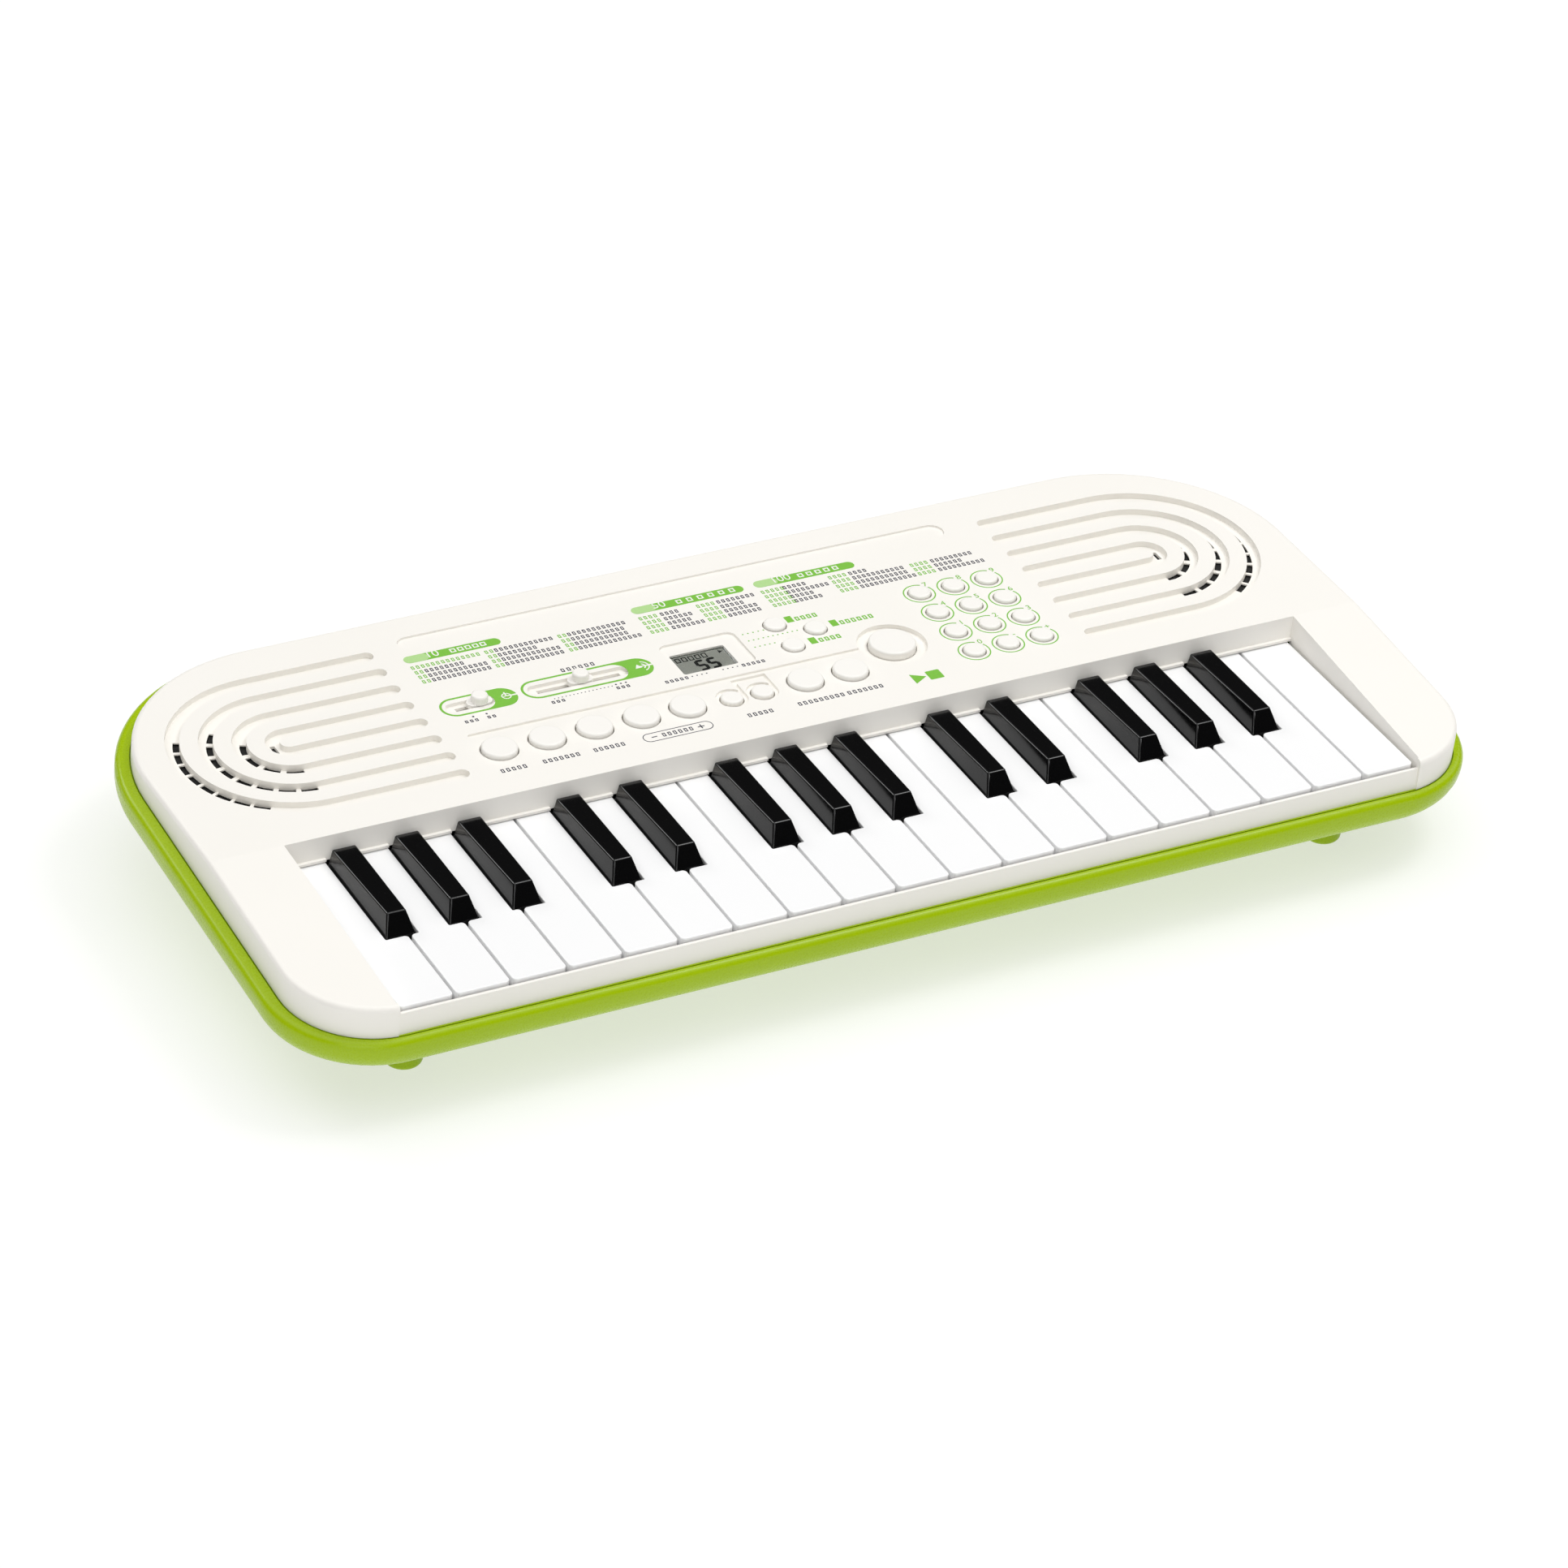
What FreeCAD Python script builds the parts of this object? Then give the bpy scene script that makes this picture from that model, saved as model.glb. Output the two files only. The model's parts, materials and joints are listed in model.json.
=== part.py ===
import FreeCAD, Part
import math
import os

# Toy electronic keyboard with 32 mini keys, in millimetres.
# Origin: centre of the footprint, on the floor. +X to the player's right, +Y to the back, +Z up.

# ---------------------------------------------------------------- driving dimensions
width = 441.0
depth = 208.0
height = 51.0
front_y = -depth / 2
back_y = depth / 2
panel_z = height                 # top of the control panel
key_top_z = 42.4                 # top of the white keys, level with the floor
key_front_y = -98.6              # front ends of the white keys
skin = 2.4                       # wall of the moulded casing

# parting line between the white upper case and the green tray, rising to the back
parting_front_y = key_front_y - 2.0
parting_front_z = 33.0
parting_slope = 3.8              # degrees
rim_band = 9.0                   # upright band of the rim, below the parting line
corner_front = 35.0              # plan radii of the rim's corners
corner_back = 65.0
rim_top_round = 2.6
rim_foot_round = 10.0
tray_wall_front = 5.0            # the tray's wall, thinner at the front where the keys dip behind it
tray_wall = 8.0
base_z = 2.5                     # flat underside of the tray, above the floor
base_half_width = 188.0
base_front_y = front_y + 33.0
base_back_y = back_y - 17.0
base_corner_front = 22.0
base_corner_back = 36.0
base_round = 6.0
foot_radius = 6.5
foot_x = 172.0
foot_front_y = -72.0
foot_back_y = 74.0

# white upper case
shell_half = 215.3               # half its width, inside the tray's rim
shell_front_y = front_y + 3.0
shell_back_y = back_y - 5.0
shell_corner_front = 30.0
shell_corner_back = 60.0
top_round = 1.8
reveal_width = 0.5               # dark groove between the upper case and the tray's rim
reveal_depth = 1.2

# keys
pitch = 19.7                     # white key to white key
white_names = "FGABCDEFGABCDEFGABC"
white_length = 85.0
key_gap = 1.0
key_tip_radius = 1.6
white_depth = 7.2                # height of a white key's side walls
notch_half = 5.75                # half the width that a black key's slot takes
notch_front = 35.0               # from the white keys' front ends
black_offset = {"F": -2.3, "G": 0.1, "A": 2.7, "C": -1.2, "D": 1.8}
black_base_half = 5.2
black_crest_front = 3.25          # half widths of the flat top
black_crest_back = 4.15
black_front = 36.0
black_back = 81.5
black_top_front = 6.3            # height above the white keys
black_top_back = 5.2
pivot_y = key_front_y + 120.0
pivot_z = key_top_z - 5.0
rod_radius = 1.5
rod_clearance = 0.05
boss_radius = 3.2
plunger_y = key_front_y + 56.0

# key well
half_keys = len(white_names) * pitch / 2
well_half = half_keys + 0.5
well_back = key_front_y + 82.4
cheek_front_z = key_top_z + 2.4
rail_top_z = key_top_z - 1.3
rail_face_y = shell_front_y + 0.6
well_front = key_front_y - 0.7
well_lean_side = 1.6             # the well's walls lean out by this much at the top
well_lean_back = 1.8
under_well = key_top_z + 0.45    # the keys pass under the well's back wall
ledge_depth = 0.9                # small step at the foot of that wall, between the black keys
ledge_height = 0.9
cheek_back_y = well_back + 2.0   # the cheeks slope down from here to the front
cheek_slope = (panel_z - cheek_front_z) / (cheek_back_y - key_front_y)

# speaker grilles
grille_x = 163.5                 # centre of the left grille's bends, and of both speakers
right_grille_x = 161.7
grille_y = key_front_y + 139.3
grille_step = 10.94
grille_rings = 4
groove_width = 4.9
groove_depth = 2.2
grille_end_x = 118.5
pad_depth = 0.8                  # the panel is this much thicker under a grille
slot_width = 2.2
slot_length = 5.5
slot_step = 6.6
slot_floor = 0.5                 # thickness of the groove's floor where the slots run
slot_spans = [(150, 240), (140, 270), (140, 270)]   # degrees around each bend, outermost first
trough_y = key_front_y + 179.5   # long shallow trough along the back of the panel
trough_x = (-106.0, 103.0)
trough_half = 4.5
trough_depth = 0.7

# controls on the panel: name, x, y behind the key fronts, cap radius
round_row_y = key_front_y + 109.2
round_button_radius = 6.15
round_buttons = {
    "piano_button": -101.3,
    "trumpet_button": -83.9,
    "drums_button": -66.5,
    "octave_down_button": -49.2,
    "octave_up_button": -32.0,
    "metronome_button": 12.3,
    "function_button": 29.4,
}
small_radius = 3.85
tempo_buttons = {"tempo_down_button": -15.4, "tempo_up_button": -3.9}
tempo_recess = 0.9
tempo_beam_y = round_row_y + 8.6
tempo_groove = 1.1
mode_buttons = {
    "tone_button": (18.8, key_front_y + 144.6),
    "rhythm_button": (30.9, key_front_y + 137.6),
    "song_button": (18.8, key_front_y + 130.6),
}
start_stop_x = 51.0
start_stop_y = key_front_y + 119.6
start_stop_radius = 8.2
start_stop_recess = 12.2
recess_depth = 1.6
keypad_columns = [75.0, 88.2, 101.4]
keypad_rows = [key_front_y + 105.1 + 13.17 * row for row in range(4)]
button_gap = 0.45
button_rise = 1.7                # how far a cap stands out of the panel
button_travel = 1.2
flange_extra = 1.3
flange_top = panel_z - skin - 0.3
flange_thick = 1.0
stem_radius = 1.6
board_top_z = 42.9               # control board, under the panel
board_thick = 1.6
switch_height = 1.0
stem_bottom = board_top_z + switch_height + button_travel + 0.25

power_slot = (-107.3, -89.7)
power_knob_x = -95.2
volume_slot = (-77.3, -39.7)
volume_knob_x = -57.9
slider_y = key_front_y + 138.0
slot_half = 2.6                  # half width of the oval slot, and of the slit through its floor
slit_half = 0.9
slot_depth = 1.3
slit_inset = 3.4                 # the slit stops short of the slot's ends
shutter_half = 1.6               # strip under the slit that moves with the knob
shutter_thick = 0.6
knob_foot_half = 4.6
knob_radius = 2.9
knob_top = 3.4

display_recess = (-25.0, 3.6, key_front_y + 126.5, key_front_y + 147.0)
display_glass = (-23.2, -2.7, key_front_y + 129.0, key_front_y + 141.3)
display_recess_depth = 0.8

# battery bay for six AA cells, three rows of two end to end, opening downwards
bay_half = 54.5
bay_y0 = 29.8
bay_y1 = 75.8
bay_top_z = 20.5
cell_pitch = 15.2
cell_axis_z = 12.6
cover_thick = 1.8
cover_margin = 2.5
cover_gap = 0.35

# rear sockets
jack_recess = (112.0, 152.0, 18.0, 34.0)
jack_wall_y = 93.0
jack_z = 26.0
phones_x = 122.0
supply_x = 141.0
phones_bore = 1.8
supply_bore = 2.8
phones_nose = 3.0                # radii of the sockets' noses, which sit in holes through the wall
supply_nose = 4.0
nose_clearance = 0.1
jack_wall_back = jack_wall_y - skin

post_places = [(-112.0, 34.0), (112.0, 34.0), (-112.0, 76.0), (112.0, 76.0), (-74.0, 76.0), (74.0, 76.0)]
post_radius = 3.6
post_bottom_z = 10.0
screw_boss_radius = 6.0
screw_recess_radius = 3.6
screw_recess_depth = 3.4
screw_hole_radius = 1.8
screw_pilot_radius = 1.1


# ---------------------------------------------------------------- helpers
def vec(x, y, z):
    return FreeCAD.Vector(x, y, z)


def box(x0, x1, y0, y1, z0, z1):
    return Part.makeBox(x1 - x0, y1 - y0, z1 - z0, vec(x0, y0, z0))


def post(x, y, z0, z1, radius):
    return Part.makeCylinder(radius, z1 - z0, vec(x, y, z0), vec(0, 0, 1))


def bar_x(x0, x1, y, z, radius):
    return Part.makeCylinder(radius, x1 - x0, vec(x0, y, z), vec(1, 0, 0))


def bar_y(y0, y1, x, z, radius):
    return Part.makeCylinder(radius, y1 - y0, vec(x, y0, z), vec(0, 1, 0))


def rounded_wire(corners, z):
    """Closed wire at height z through (x, y, radius) corners, each rounded by its radius."""
    count = len(corners)
    edges = []
    previous_end = None
    first_start = None
    for i in range(count):
        x, y, radius = corners[i]
        here = vec(x, y, z)
        before = vec(corners[i - 1][0], corners[i - 1][1], z)
        after = vec(corners[(i + 1) % count][0], corners[(i + 1) % count][1], z)
        back = (before - here).normalize()
        ahead = (after - here).normalize()
        if radius > 0:
            half = back.getAngle(ahead) / 2
            reach = radius / math.tan(half)
            start = here + back * reach
            end = here + ahead * reach
            middle_way = (back + ahead).normalize()
            middle = here + middle_way * (radius / math.sin(half) - radius)
        else:
            start = here
            end = here
        if previous_end is not None:
            edges.append(Part.makeLine(previous_end, start))
        else:
            first_start = start
        if radius > 0:
            edges.append(Part.Arc(start, middle, end).toShape())
        previous_end = end
    edges.append(Part.makeLine(previous_end, first_start))
    return Part.Wire(edges)


def slab(corners, z0, z1):
    return Part.Face(rounded_wire(corners, z0)).extrude(vec(0, 0, z1 - z0))


def rounded_box(x0, x1, y0, y1, z0, z1, radius):
    corners = [(x0, y0, radius), (x1, y0, radius), (x1, y1, radius), (x0, y1, radius)]
    return slab(corners, z0, z1)


def pill(x0, x1, y, half, z0, z1):
    """Upright slab with round ends, centred on y."""
    return rounded_box(x0, x1, y - half, y + half, z0, z1, half * 0.999)


def fuse(shapes):
    result = shapes[0]
    if len(shapes) > 1:
        result = result.multiFuse(shapes[1:])
    return result.removeSplitter()


def round_edges(shape, radius, chosen):
    edges = [edge for edge in shape.Edges if chosen(edge)]
    return shape.makeFillet(radius, edges)


def edge_on_plane(edge, point, normal, tolerance=0.02):
    """True where the whole edge lies in the plane through point."""
    for vertex in edge.Vertexes:
        if abs((vertex.Point - point).dot(normal)) > tolerance:
            return False
    middle = edge.valueAt((edge.FirstParameter + edge.LastParameter) / 2)
    return abs((middle - point).dot(normal)) < tolerance


def save(name, shapes):
    if not isinstance(shapes, list):
        shapes = [shapes]
    solids = []
    for shape in shapes:
        solids.extend(shape.Solids)
    result = solids[0] if len(solids) == 1 else Part.makeCompound(solids)
    result.exportStep("parts/" + name + ".step")


# ---------------------------------------------------------------- casing outlines
parting_point = vec(0, parting_front_y, parting_front_z)
parting_normal = vec(0, -math.sin(math.radians(parting_slope)), math.cos(math.radians(parting_slope)))


def plan_corners(half, y0, y1, front, back):
    return [(-half, y0, front), (half, y0, front), (half, y1, back), (-half, y1, back)]


def rim_corners():
    return plan_corners(width / 2, front_y, back_y, corner_front, corner_back)


def cavity_corners():
    return plan_corners(width / 2 - tray_wall, front_y + tray_wall_front, back_y - tray_wall,
                        corner_front - tray_wall, corner_back - tray_wall)


def shell_corners(inset):
    return plan_corners(shell_half - inset, shell_front_y + inset, shell_back_y - inset,
                        shell_corner_front - inset, shell_corner_back - inset)


def parting_outline(corners, below=0.0):
    """Plan outline laid on the sloping parting plane, or on a plane below it."""
    wire = rounded_wire(corners, parting_front_z)
    wire.rotate(parting_point, vec(1, 0, 0), parting_slope)
    wire.translate(parting_normal * -below)
    return wire


def base_outline(inset, z):
    half = base_half_width - inset
    y0 = base_front_y + inset
    y1 = base_back_y - inset
    return rounded_wire(plan_corners(half, y0, y1, base_corner_front, base_corner_back), z)


# ---------------------------------------------------------------- green tray
def tray_outer():
    band = Part.Face(parting_outline(rim_corners())).extrude(parting_normal * -rim_band)
    belly = Part.makeLoft([parting_outline(rim_corners(), rim_band), base_outline(0.0, base_z)], True, True)
    body = band.fuse(belly).removeSplitter()
    band_foot = parting_point - parting_normal * rim_band
    body = round_edges(body, rim_foot_round, lambda edge: edge_on_plane(edge, band_foot, parting_normal))
    body = round_edges(body, base_round, lambda edge: edge_on_plane(edge, vec(0, 0, base_z), vec(0, 0, 1)))
    body = round_edges(body, rim_top_round, lambda edge: edge_on_plane(edge, parting_point, parting_normal))
    return body


def reveal_groove():
    outer = Part.Face(parting_outline(shell_corners(-reveal_width))).extrude(parting_normal * -reveal_depth)
    inner = Part.Face(parting_outline(shell_corners(0.0))).extrude(parting_normal * -reveal_depth * 2)
    return outer.cut(inner)


def tray_cavity():
    corners = cavity_corners()
    wires = [parting_outline(corners), parting_outline(corners, rim_band), base_outline(3.6, base_z + skin)]
    return Part.makeLoft(wires, True, True)


def foot(x, y):
    shape = post(x, y, 0, base_z + 12.0, foot_radius)
    return round_edges(shape, 2.0, lambda edge: edge_on_plane(edge, vec(0, 0, 0), vec(0, 0, 1)))


def lower_case():
    outer = tray_outer()
    feet = []
    for x in (-foot_x, foot_x):
        for y in (foot_front_y, foot_back_y):
            feet.append(foot(x, y))
    inside = tray_cavity()
    shell = fuse([outer] + feet).cut(inside)
    bay_block = box(-bay_half - skin, bay_half + skin, bay_y0 - skin, bay_y1 + skin, base_z, bay_top_z + skin)
    bay_block = bay_block.common(outer)
    x0, x1, z0, z1 = jack_recess
    jack_block = box(x0 - skin, x1 + skin, jack_wall_y - skin, back_y, z0 - skin, z1 + skin).common(outer)
    bosses = []
    for x, y in post_places:
        bosses.append(post(x, y, base_z, post_bottom_z - 0.2, screw_boss_radius))
    shell = fuse([shell, bay_block, jack_block] + bosses)
    cuts = [
        box(-bay_half, bay_half, bay_y0, bay_y1, 0, bay_top_z),
        box(-bay_half - cover_margin, bay_half + cover_margin, bay_y0 - cover_margin, bay_y1 + cover_margin,
            0, base_z + cover_thick + 0.2),
        box(x0, x1, jack_wall_y, back_y + 5, z0, z1),
        bar_y(jack_wall_back - 1, jack_wall_y + 1, phones_x, jack_z, phones_nose + nose_clearance),
        bar_y(jack_wall_back - 1, jack_wall_y + 1, supply_x, jack_z, supply_nose + nose_clearance),
        box(phones_x - 6.5, supply_x + 7.5, jack_wall_back - 14, jack_wall_back, jack_z - 7.2, jack_z + 5.5),
        reveal_groove(),
    ]
    for x, y in post_places:
        cuts.append(post(x, y, 0, base_z + screw_recess_depth, screw_recess_radius))
        cuts.append(post(x, y, 0, post_bottom_z, screw_hole_radius))
    return shell.cut(cuts)


# ---------------------------------------------------------------- white upper case
def top_profile(drop, y0, y1, bottom):
    """Side view of the casing's top, as a slab as wide as the object; drop lowers it."""
    front_z = cheek_front_z - cheek_slope * (key_front_y - y0)
    points = [
        vec(-width / 2, y0, bottom),
        vec(-width / 2, y0, front_z - drop),
        vec(-width / 2, cheek_back_y, panel_z - drop),
        vec(-width / 2, y1, panel_z - drop),
        vec(-width / 2, y1, bottom),
        vec(-width / 2, y0, bottom),
    ]
    return Part.Face(Part.makePolygon(points)).extrude(vec(width, 0, 0))


def grille_path(centre, ring, half):
    """U-shaped slab for one groove of the left grille, arms towards the middle."""
    radius = grille_step * (grille_rings - ring - 0.5)
    z0 = panel_z - groove_depth
    z1 = panel_z + 1
    outer = post(-centre, grille_y, z0, z1, radius + half)
    inner = post(-centre, grille_y, z0 - 1, z1 + 1, radius - half)
    bend = outer.cut(inner).common(box(-width, -centre, -width, width, z0, z1))
    arms = []
    for side in (-1, 1):
        y = grille_y + side * radius
        arms.append(box(-centre, -grille_end_x, y - half, y + half, z0, z1))
        arms.append(post(-grille_end_x, y, z0, z1, half))
    return fuse([bend] + arms)


def half_ring(centre, inner_radius, outer_radius, z0, z1):
    ring_shape = post(-centre, grille_y, z0, z1, outer_radius)
    ring_shape = ring_shape.cut(post(-centre, grille_y, z0 - 1, z1 + 1, inner_radius))
    return ring_shape.common(box(-width, -centre, -width, width, z0, z1))


def grille_slots(centre, ring):
    """Short slots through the floor of one groove, along the inside of its bend, and the thinning under them."""
    radius = grille_step * (grille_rings - ring - 0.5)
    inner_radius = radius - groove_width / 2
    outer_radius = inner_radius + slot_width
    thin_top = panel_z - groove_depth - slot_floor
    if ring >= len(slot_spans):
        return [box(-centre - radius - 0.4, -centre - radius + 1.3, grille_y - 2.4, grille_y + 2.4,
                    panel_z - 8, panel_z)]
    ring_shape = half_ring(centre, inner_radius, outer_radius, panel_z - 8, panel_z)
    count = int(math.pi * inner_radius / slot_step)
    span = math.degrees(slot_length / 2 / inner_radius)
    slots = [half_ring(centre, inner_radius - 0.5, outer_radius + 0.5, panel_z - 8, thin_top)]
    for i in range(count):
        angle = 90 + 180.0 * (i + 0.5) / count
        if slot_spans[ring][0] < angle < slot_spans[ring][1]:
            wedge = Part.makeCylinder(60, 10, vec(-centre, grille_y, panel_z - 9), vec(0, 0, 1), 2 * span)
            wedge.rotate(vec(-centre, grille_y, 0), vec(0, 0, 1), angle - span)
            slots.append(ring_shape.common(wedge))
    return slots


def grille_cuts():
    cuts = []
    for ring in range(grille_rings):
        cuts.append(grille_path(grille_x, ring, groove_width / 2))
        cuts.extend(grille_slots(grille_x, ring))
        for shape in [grille_path(right_grille_x, ring, groove_width / 2)] + grille_slots(right_grille_x, ring):
            cuts.append(shape.mirror(vec(0, 0, 0), vec(1, 0, 0)))
    return cuts


def button_places():
    """Every round cap on the panel: (x, y, cap radius)."""
    places = [(x, round_row_y, round_button_radius) for x in round_buttons.values()]
    places += [(x, round_row_y, small_radius) for x in tempo_buttons.values()]
    places += [(x, y, small_radius) for x, y in mode_buttons.values()]
    places.append((start_stop_x, start_stop_y, start_stop_radius))
    for x in keypad_columns:
        for y in keypad_rows:
            places.append((x, y, small_radius))
    return places


def panel_recesses():
    top = panel_z + 1
    left = tempo_buttons["tempo_down_button"]
    right = tempo_buttons["tempo_up_button"]
    floor = panel_z - tempo_recess
    x0, x1, y0, y1 = display_recess
    gx0, gx1, gy0, gy1 = display_glass
    cuts = [
        post(start_stop_x, start_stop_y, panel_z - recess_depth, top, start_stop_recess),
        pill(min(power_slot) - 0.2, start_stop_x - start_stop_recess + 1, key_front_y + 120.3, 1.1,
             panel_z - 0.8, top),
        rounded_box(x0, x1, y0, y1, panel_z - display_recess_depth, top, 3.0),
        rounded_box(gx0, gx1, gy0, gy1, panel_z - skin - 1, top, 0.8),
        pill(trough_x[0], trough_x[1], trough_y, trough_half, panel_z - trough_depth, top),
    ]
    for x in (left, right):
        cuts.append(post(x, round_row_y, floor, top, small_radius + 1.7))
        cuts.append(box(x + small_radius + 0.3, x + small_radius + 1.7, round_row_y, tempo_beam_y, floor, top))
    cuts.append(box(left + small_radius + 0.3, right + small_radius + 1.7, tempo_beam_y - tempo_groove,
                    tempo_beam_y + tempo_groove, floor, top))
    for x0, x1 in (power_slot, volume_slot):
        cuts.append(pill(x0, x1, slider_y, slot_half, panel_z - slot_depth, top))
        cuts.append(box(x0 + slit_inset, x1 - slit_inset, slider_y - slit_half, slider_y + slit_half,
                        panel_z - 8, top))
    for x, y, radius in button_places():
        cuts.append(post(x, y, panel_z - 8, top, radius + button_gap))
    return cuts


def upper_case():
    lift = 30.0
    outline = Part.Face(parting_outline(shell_corners(0.0))).extrude(parting_normal * lift)
    block = outline.common(top_profile(0.0, front_y - 5, back_y + 5, 0))
    block = round_edges(block, top_round, outer_top_edge)
    hollow = Part.Face(parting_outline(shell_corners(skin), 1.0)).extrude(parting_normal * lift)
    hollow = hollow.common(top_profile(skin, front_y - 5, back_y + 5, 0))
    shell = block.cut(hollow)
    well_block = box(-well_half - skin, well_half + skin, key_front_y - 3, well_back + skin + 1.6, 20, panel_z + 1)
    well_block = well_block.cut(box(-well_half, well_half, well_back - 5, well_back + 8, 19, under_well))
    well_block = well_block.cut(box(-width, width, well_back + 0.01, well_back + 9, 19, under_well))
    well_block = well_block.common(block)
    pads = []
    pad_half = grille_step * grille_rings - 2.5
    for centre in (-grille_x, right_grille_x):
        side = math.copysign(1, centre)
        pads.append(post(centre, grille_y, panel_z - skin - pad_depth, panel_z - 1, pad_half)
                    .cut(box(-abs(centre) + 0.5, abs(centre) - 0.5, -width, width, 0, 60)))
        x0, x1 = sorted((centre, side * (grille_end_x - 4)))
        pads.append(box(x0, x1, grille_y - pad_half, grille_y + pad_half, panel_z - skin - pad_depth, panel_z - 1))
    posts = [post(x, y, post_bottom_z, panel_z - 1, post_radius) for x, y in post_places]
    shell = fuse([shell, well_block] + pads + posts)
    well = key_well()
    cuts = [well] + grille_cuts() + panel_recesses()
    cuts += [post(x, y, post_bottom_z - 1, post_bottom_z + 12, screw_pilot_radius) for x, y in post_places]
    cuts.append(box(-well_half, well_half, front_y, rail_face_y, 20, panel_z))
    return fuse([shell.cut(cuts)] + well_ledges())


def well_ledges():
    """Small step at the foot of the well's back wall, in pieces between the black keys."""
    ledge = box(-well_half - 0.2, well_half + 0.2, well_back - ledge_depth, well_back + 0.4,
                under_well, under_well + ledge_height)
    notch = black_base_half + 0.45
    notches = []
    for index in range(len(white_names)):
        x = slot_centre(index)
        if x is not None:
            notches.append(box(x - notch, x + notch, well_back - 2, well_back + 1, under_well - 1, panel_z))
    return ledge.cut(notches).Solids


def outer_top_edge(edge):
    """Edges around the rim of the casing's top: not the crease between the cheeks and the panel."""
    crease = abs(edge.BoundBox.YLength) < 0.01 and abs(edge.BoundBox.YMin - cheek_back_y) < 0.5
    for vertex in edge.Vertexes:
        point = vertex.Point
        if not point_on_top(point):
            return False
    return not crease


def point_on_top(point):
    if point.y > cheek_back_y - 0.1:
        surface = panel_z
    else:
        surface = panel_z - cheek_slope * (cheek_back_y - point.y)
    return abs(point.z - surface) < 0.05


def key_well():
    """The opening that holds the keys; its walls lean out towards the top."""
    top_half = well_half + well_lean_side
    top_back = well_back + well_lean_back
    foot_corners = plan_corners(well_half, well_front, well_back, 0, 0)
    bottom = rounded_wire(foot_corners, key_top_z - 12)
    middle = rounded_wire(foot_corners, key_top_z)
    top = rounded_wire(plan_corners(top_half, well_front, top_back, 0, 0), panel_z + 0.01)
    low = Part.makeLoft([bottom, middle], True, True)
    high = Part.makeLoft([middle, top], True, True)
    over = box(-top_half, top_half, well_front, top_back, panel_z, panel_z + 2)
    rail = box(-well_half, well_half, front_y, key_front_y, rail_top_z, panel_z + 2)
    return fuse([low, high, over, rail])


# ---------------------------------------------------------------- keys
def white_x(index):
    """Left boundary of a white key."""
    return -half_keys + index * pitch


def slot_centre(index):
    """Centre of the black key behind the boundary to the right of this white key, or None."""
    name = white_names[index]
    if name not in black_offset or index + 1 >= len(white_names):
        return None
    return white_x(index + 1) + black_offset[name]


def tail_range(index):
    """Left and right sides of a white key between its black neighbours."""
    left = white_x(index) + key_gap / 2
    right = white_x(index + 1) - key_gap / 2
    before = slot_centre(index - 1) if index > 0 else None
    after = slot_centre(index)
    if before is not None:
        left = before + notch_half
    if after is not None:
        right = after - notch_half
    return left, right


def key_tail(x, half, start_y):
    """Arm from a key's playing part back to the pivot rod, with its bored boss."""
    top = key_top_z - 1.8
    arm = box(x - half, x + half, start_y, pivot_y, pivot_z - 1.6, top)
    boss = bar_x(x - half, x + half, pivot_y, pivot_z, boss_radius)
    return [arm, boss]


def pivot_bore(x, half):
    return bar_x(x - half - 1, x + half + 1, pivot_y, pivot_z, rod_radius + rod_clearance)


def white_key(index):
    left = white_x(index) + key_gap / 2
    right = white_x(index + 1) - key_gap / 2
    tail_left, tail_right = tail_range(index)
    front = key_front_y
    shoulder = key_front_y + notch_front
    back = key_front_y + white_length
    corners = [(left, front, key_tip_radius), (right, front, key_tip_radius)]
    if tail_right < right - 0.1:
        corners += [(right, shoulder, 1.5), (tail_right, shoulder, 0.4)]
    corners.append((tail_right, back, 0))
    corners.append((tail_left, back, 0))
    if tail_left > left + 0.1:
        corners += [(tail_left, shoulder, 0.4), (left, shoulder, 1.5)]
    body = slab(corners, key_top_z - white_depth, key_top_z)
    body = round_edges(body, 0.35, lambda edge: edge_on_plane(edge, vec(0, 0, key_top_z), vec(0, 0, 1)))
    roof = key_top_z - 1.8
    floor = key_top_z - white_depth - 1
    middle = (tail_left + tail_right) / 2
    pocket_front = box(left + 1.6, right - 1.6, front + 2, shoulder - 2, floor, roof)
    pocket_back = box(tail_left + 1.6, tail_right - 1.6, shoulder - 3, back - 2, floor, roof)
    half = 3.5
    plunger = box(middle - 1.5, middle + 1.5, plunger_y - 1.5, plunger_y + 1.5, key_top_z - 8.9, roof + 0.5)
    shape = fuse([body.cut([pocket_front, pocket_back]), plunger] + key_tail(middle, half, back - 1.5))
    return shape.cut(pivot_bore(middle, half)), middle


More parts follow.
